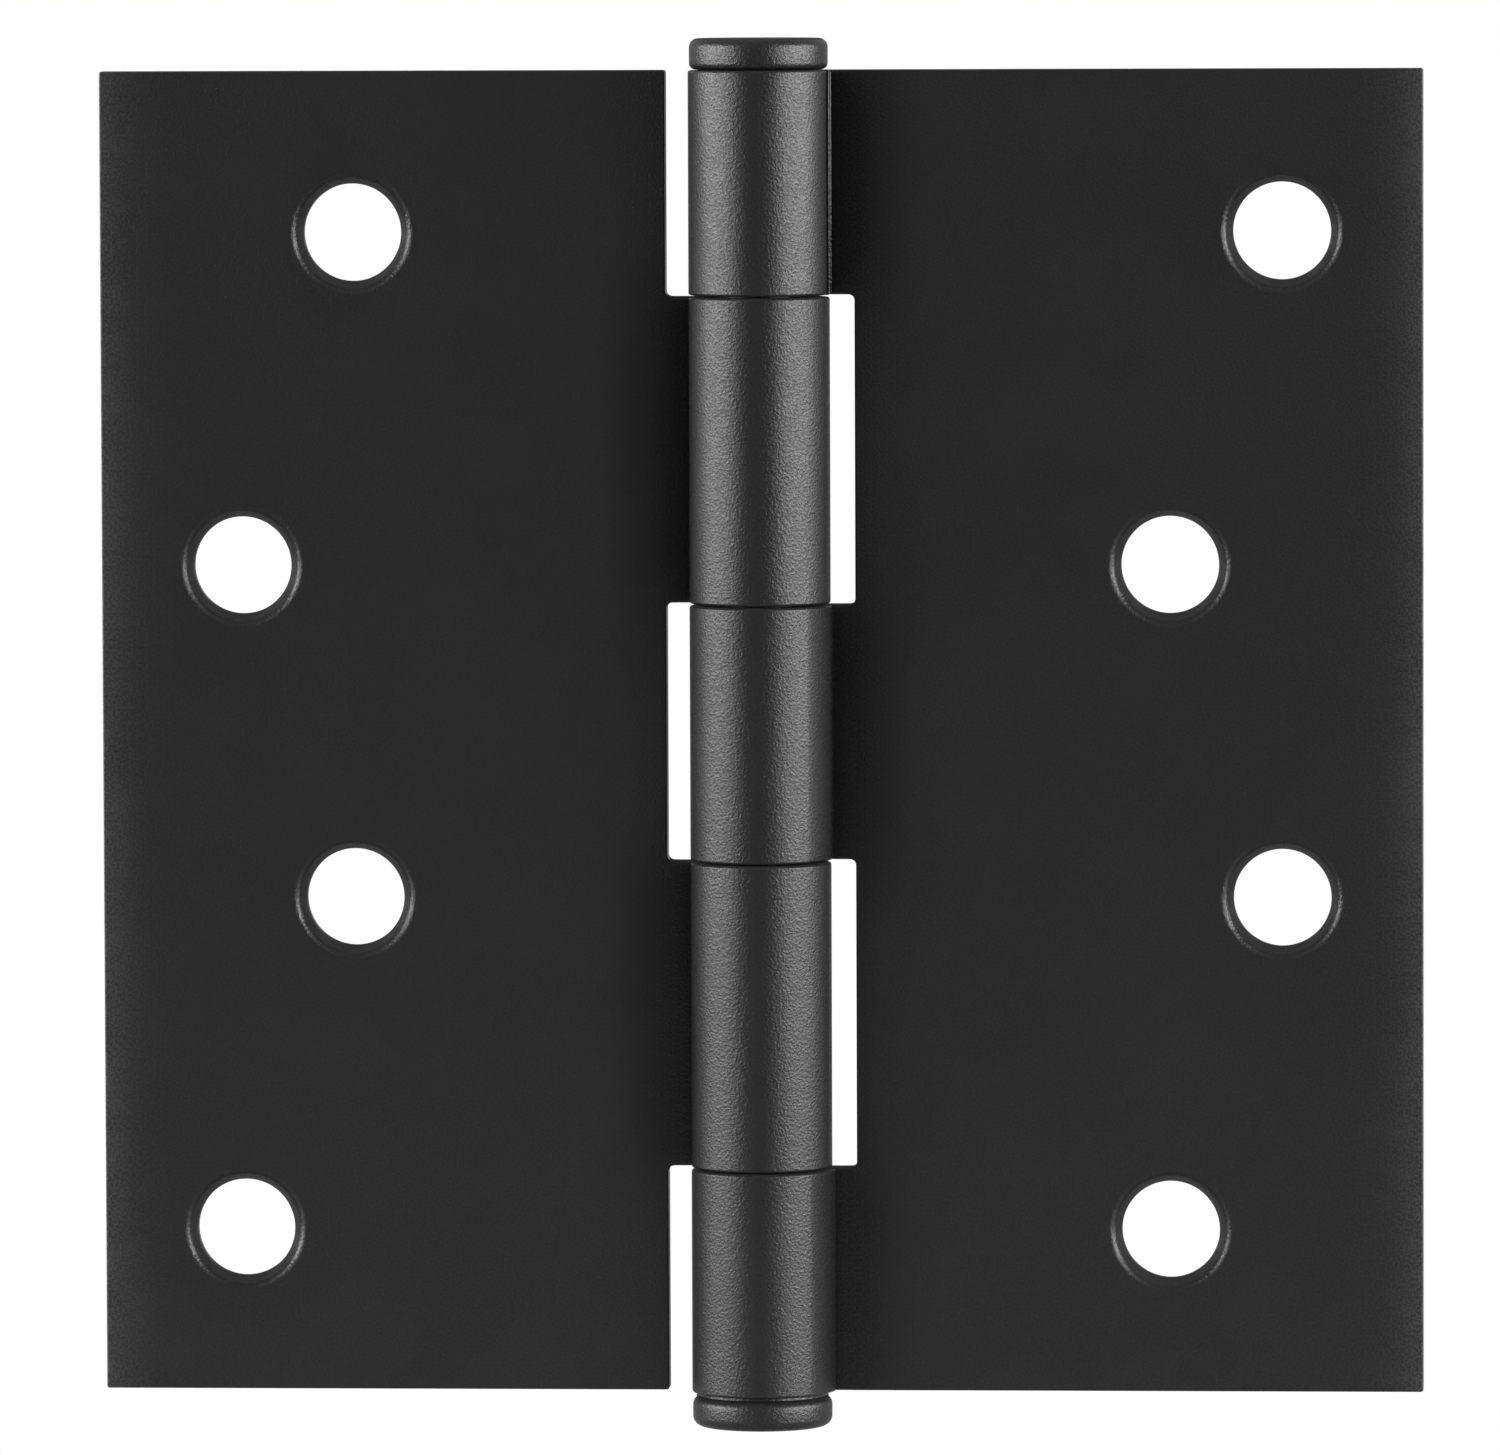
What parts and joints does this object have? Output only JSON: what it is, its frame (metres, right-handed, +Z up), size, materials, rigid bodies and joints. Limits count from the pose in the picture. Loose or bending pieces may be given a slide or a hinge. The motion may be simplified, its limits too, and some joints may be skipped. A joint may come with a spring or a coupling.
{
  "type": "door hinge",
  "caption": "Open butt hinge with square corners: two countersunk leaves whose curled knuckles interleave around a loose button-head pin, closed below by a pressed-in tip.",
  "frame": {"origin": "on the pin's axis at mid-height of the barrel", "axes": "+Z up along the pin towards its head, +X towards the jamb leaf, -Y out of the countersunk front faces; at rest the hinge lies open flat in the XZ plane"},
  "size_m": [0.1016, 0.0108, 0.1066],
  "materials": {
    "leaf_coat": "matte black powder coat on steel, fine sand grain",
    "hardware_coat": "matte black powder coat on steel, fine sand grain, slightly worn rims"
  },
  "bodies": {
    "jamb": {"jamb_leaf": "leaf_coat", "bottom_tip": "hardware_coat"},
    "door": {"door_leaf": "leaf_coat"},
    "pin": {"hinge_pin": "hardware_coat"}
  },
  "joints": [
    {"name": "leaf_swing", "type": "hinge", "parent": "jamb", "child": "door", "pos_m": [0, 0, 0], "axis": [0, 0, 1], "range_deg": [-130, 180]},
    {"name": "pin_pull", "type": "slide", "parent": "jamb", "child": "pin", "axis": [0, 0, 1], "range_m": [0, 0.1]}
  ]
}
